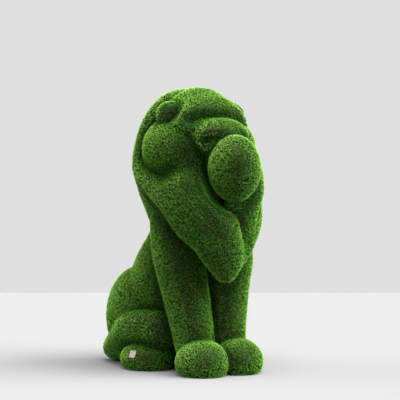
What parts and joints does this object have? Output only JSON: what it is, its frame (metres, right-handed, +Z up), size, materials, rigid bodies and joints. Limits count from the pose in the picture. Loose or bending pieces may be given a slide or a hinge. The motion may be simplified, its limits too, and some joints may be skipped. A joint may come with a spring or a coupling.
{
  "type": "artificial topiary lion",
  "caption": "Sitting lion statue clad in artificial turf, with a rounded mane, a large round muzzle and a small blank plate on the right hind paw.",
  "frame": {"origin": "centre of the whole figure's footprint, on the ground it sits on", "axes": "+Z up, the face looks along -Y, the lion's left side is +X"},
  "size_m": [0.594, 0.9556, 1.2],
  "materials": {
    "turf": "matte",
    "plate_plastic": "matte"
  },
  "bodies": {
    "root": {"lion": "turf", "plate": "plate_plastic"}
  },
  "joints": []
}
